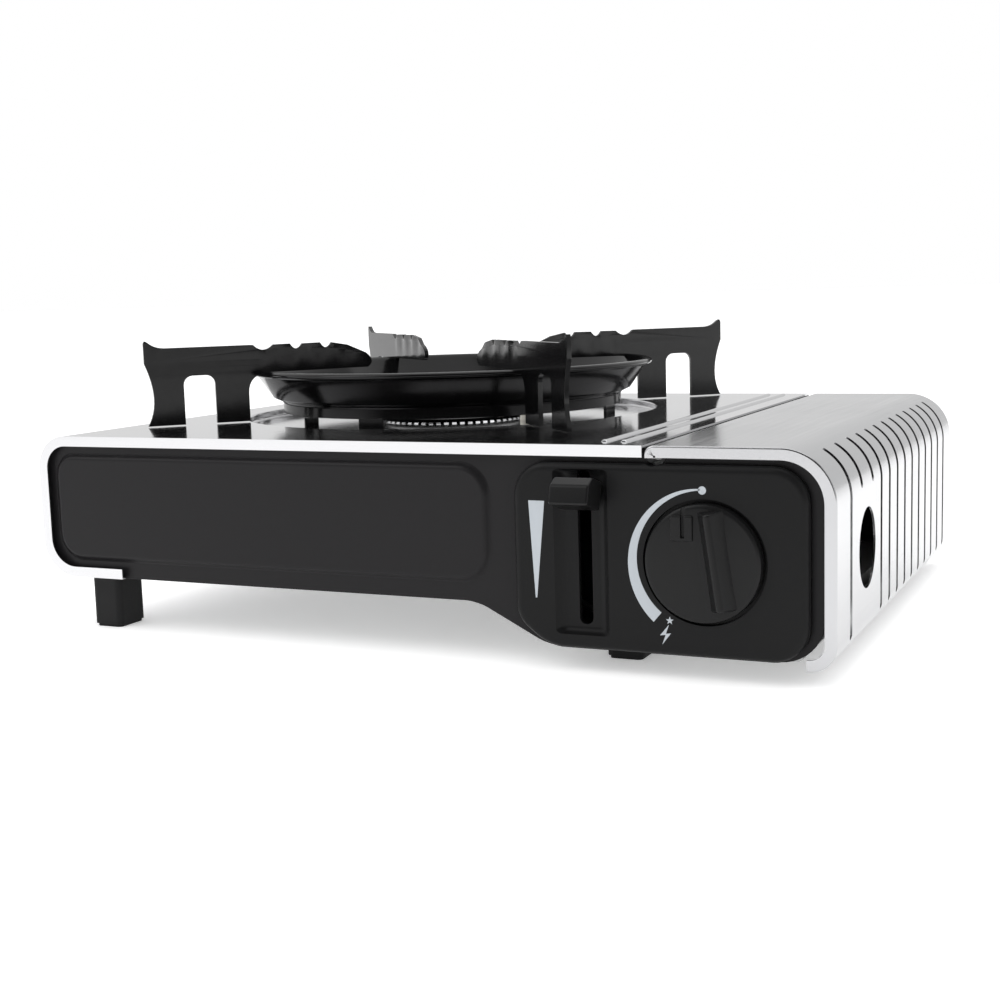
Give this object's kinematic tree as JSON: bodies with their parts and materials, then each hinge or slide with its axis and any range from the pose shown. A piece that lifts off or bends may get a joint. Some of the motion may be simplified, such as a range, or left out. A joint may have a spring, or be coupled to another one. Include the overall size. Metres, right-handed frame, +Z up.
{
  "type": "camping stove",
  "caption": "Portable single-burner gas stove: low stainless body, enamelled lift-off pan support, knob and lock lever, and a slotted lid over the cartridge bay.",
  "frame": {"origin": "on the ground, at the middle of the outline box's underside", "axes": "+X from the burner side to the cartridge lid, along the longest side; -Y towards the front panel and knob; +Z up, across the shortest side"},
  "size_m": [0.34, 0.268, 0.121],
  "materials": {
    "stainless": "polished stainless sheet, fine brushed grain",
    "zinc_steel": "zinc-plated pressed steel, dull",
    "cast_alloy": "sand-textured die-cast aluminium",
    "brass": "machined brass",
    "copper_pipe": "drawn copper pipe",
    "black_paint": "satin black baked paint on pressed steel",
    "black_enamel": "gloss black enamel",
    "cover_plastic": "fine-textured moulded black plastic",
    "knob_plastic": "satin moulded black plastic",
    "rubber_foot": "moulded black rubber",
    "seal_rubber": "nitrile rubber",
    "lead_sleeve": "silicone sleeve",
    "ceramic": "glazed ceramic"
  },
  "bodies": {
    "body": {"top_shell": "stainless", "front_panel": "black_paint", "rear_panel": "black_paint", "control_cover": "cover_plastic", "base_pan": "zinc_steel", "divider_wall": "zinc_steel", "cartridge_cradle": "zinc_steel", "foot_front_left": "rubber_foot", "foot_rear_left": "rubber_foot", "foot_front_right": "rubber_foot", "foot_rear_right": "rubber_foot", "regulator_body": "cast_alloy", "regulator_bracket": "zinc_steel", "inlet_seal": "seal_rubber", "piezo_igniter": "cover_plastic", "igniter_lead": "lead_sleeve", "burner_base": "cast_alloy", "burner_ring": "stainless", "burner_cap": "black_enamel", "mixing_tube": "zinc_steel", "gas_jet": "brass", "gas_pipe": "copper_pipe", "electrode_insulator": "ceramic", "electrode_wire": "zinc_steel", "lever_pivot_pin": "zinc_steel", "hinge_rod": "zinc_steel", "body_knuckle_front": "zinc_steel", "body_knuckle_rear": "zinc_steel"},
    "knob": {"knob": "knob_plastic", "valve_spindle": "brass", "ignition_cam": "knob_plastic"},
    "striker": {"igniter_striker": "zinc_steel"},
    "lock_lever": {"lever_arm": "zinc_steel", "lever_cap": "knob_plastic"},
    "carriage": {"clamp_carriage": "zinc_steel"},
    "lid": {"cartridge_lid": "stainless", "lid_knuckle_front": "zinc_steel", "lid_knuckle_rear": "zinc_steel"},
    "pan_support": {"pan_dish": "black_enamel", "fin_rear_right": "black_enamel", "fin_rear_left": "black_enamel", "fin_front_left": "black_enamel", "fin_front_right": "black_enamel"}
  },
  "joints": [
    {"name": "lid_hinge", "type": "hinge", "parent": "body", "child": "lid", "pos_m": [0.1056, 0, 0.0796], "axis": [0, -1, 0], "range_deg": [0, 95]},
    {"name": "knob_turn", "type": "hinge", "parent": "body", "child": "knob", "pos_m": [0.1244, -0.118, 0.0426], "axis": [0, -1, 0], "range_deg": [0, 150]},
    {"name": "lock_lever_swing", "type": "hinge", "parent": "body", "child": "lock_lever", "pos_m": [0.0792, -0.052, 0.044], "axis": [1, 0, 0], "range_deg": [0, 34]},
    {"name": "carriage_slide", "type": "slide", "parent": "body", "child": "carriage", "axis": [0, -1, 0], "range_m": [0, 0.006]},
    {"name": "striker_press", "type": "slide", "parent": "body", "child": "striker", "axis": [0, 0, -1], "range_m": [0, 0.003]},
    {"name": "pan_support_lift", "type": "slide", "parent": "body", "child": "pan_support", "axis": [0, 0, 1], "range_m": [0, 0.06]}
  ],
  "couplings": [
    {"joint": "carriage_slide", "follows": "lock_lever_swing", "m_per_rad": 0.0101},
    {"joint": "striker_press", "follows": "knob_turn", "m_per_rad": 0.001146}
  ]
}
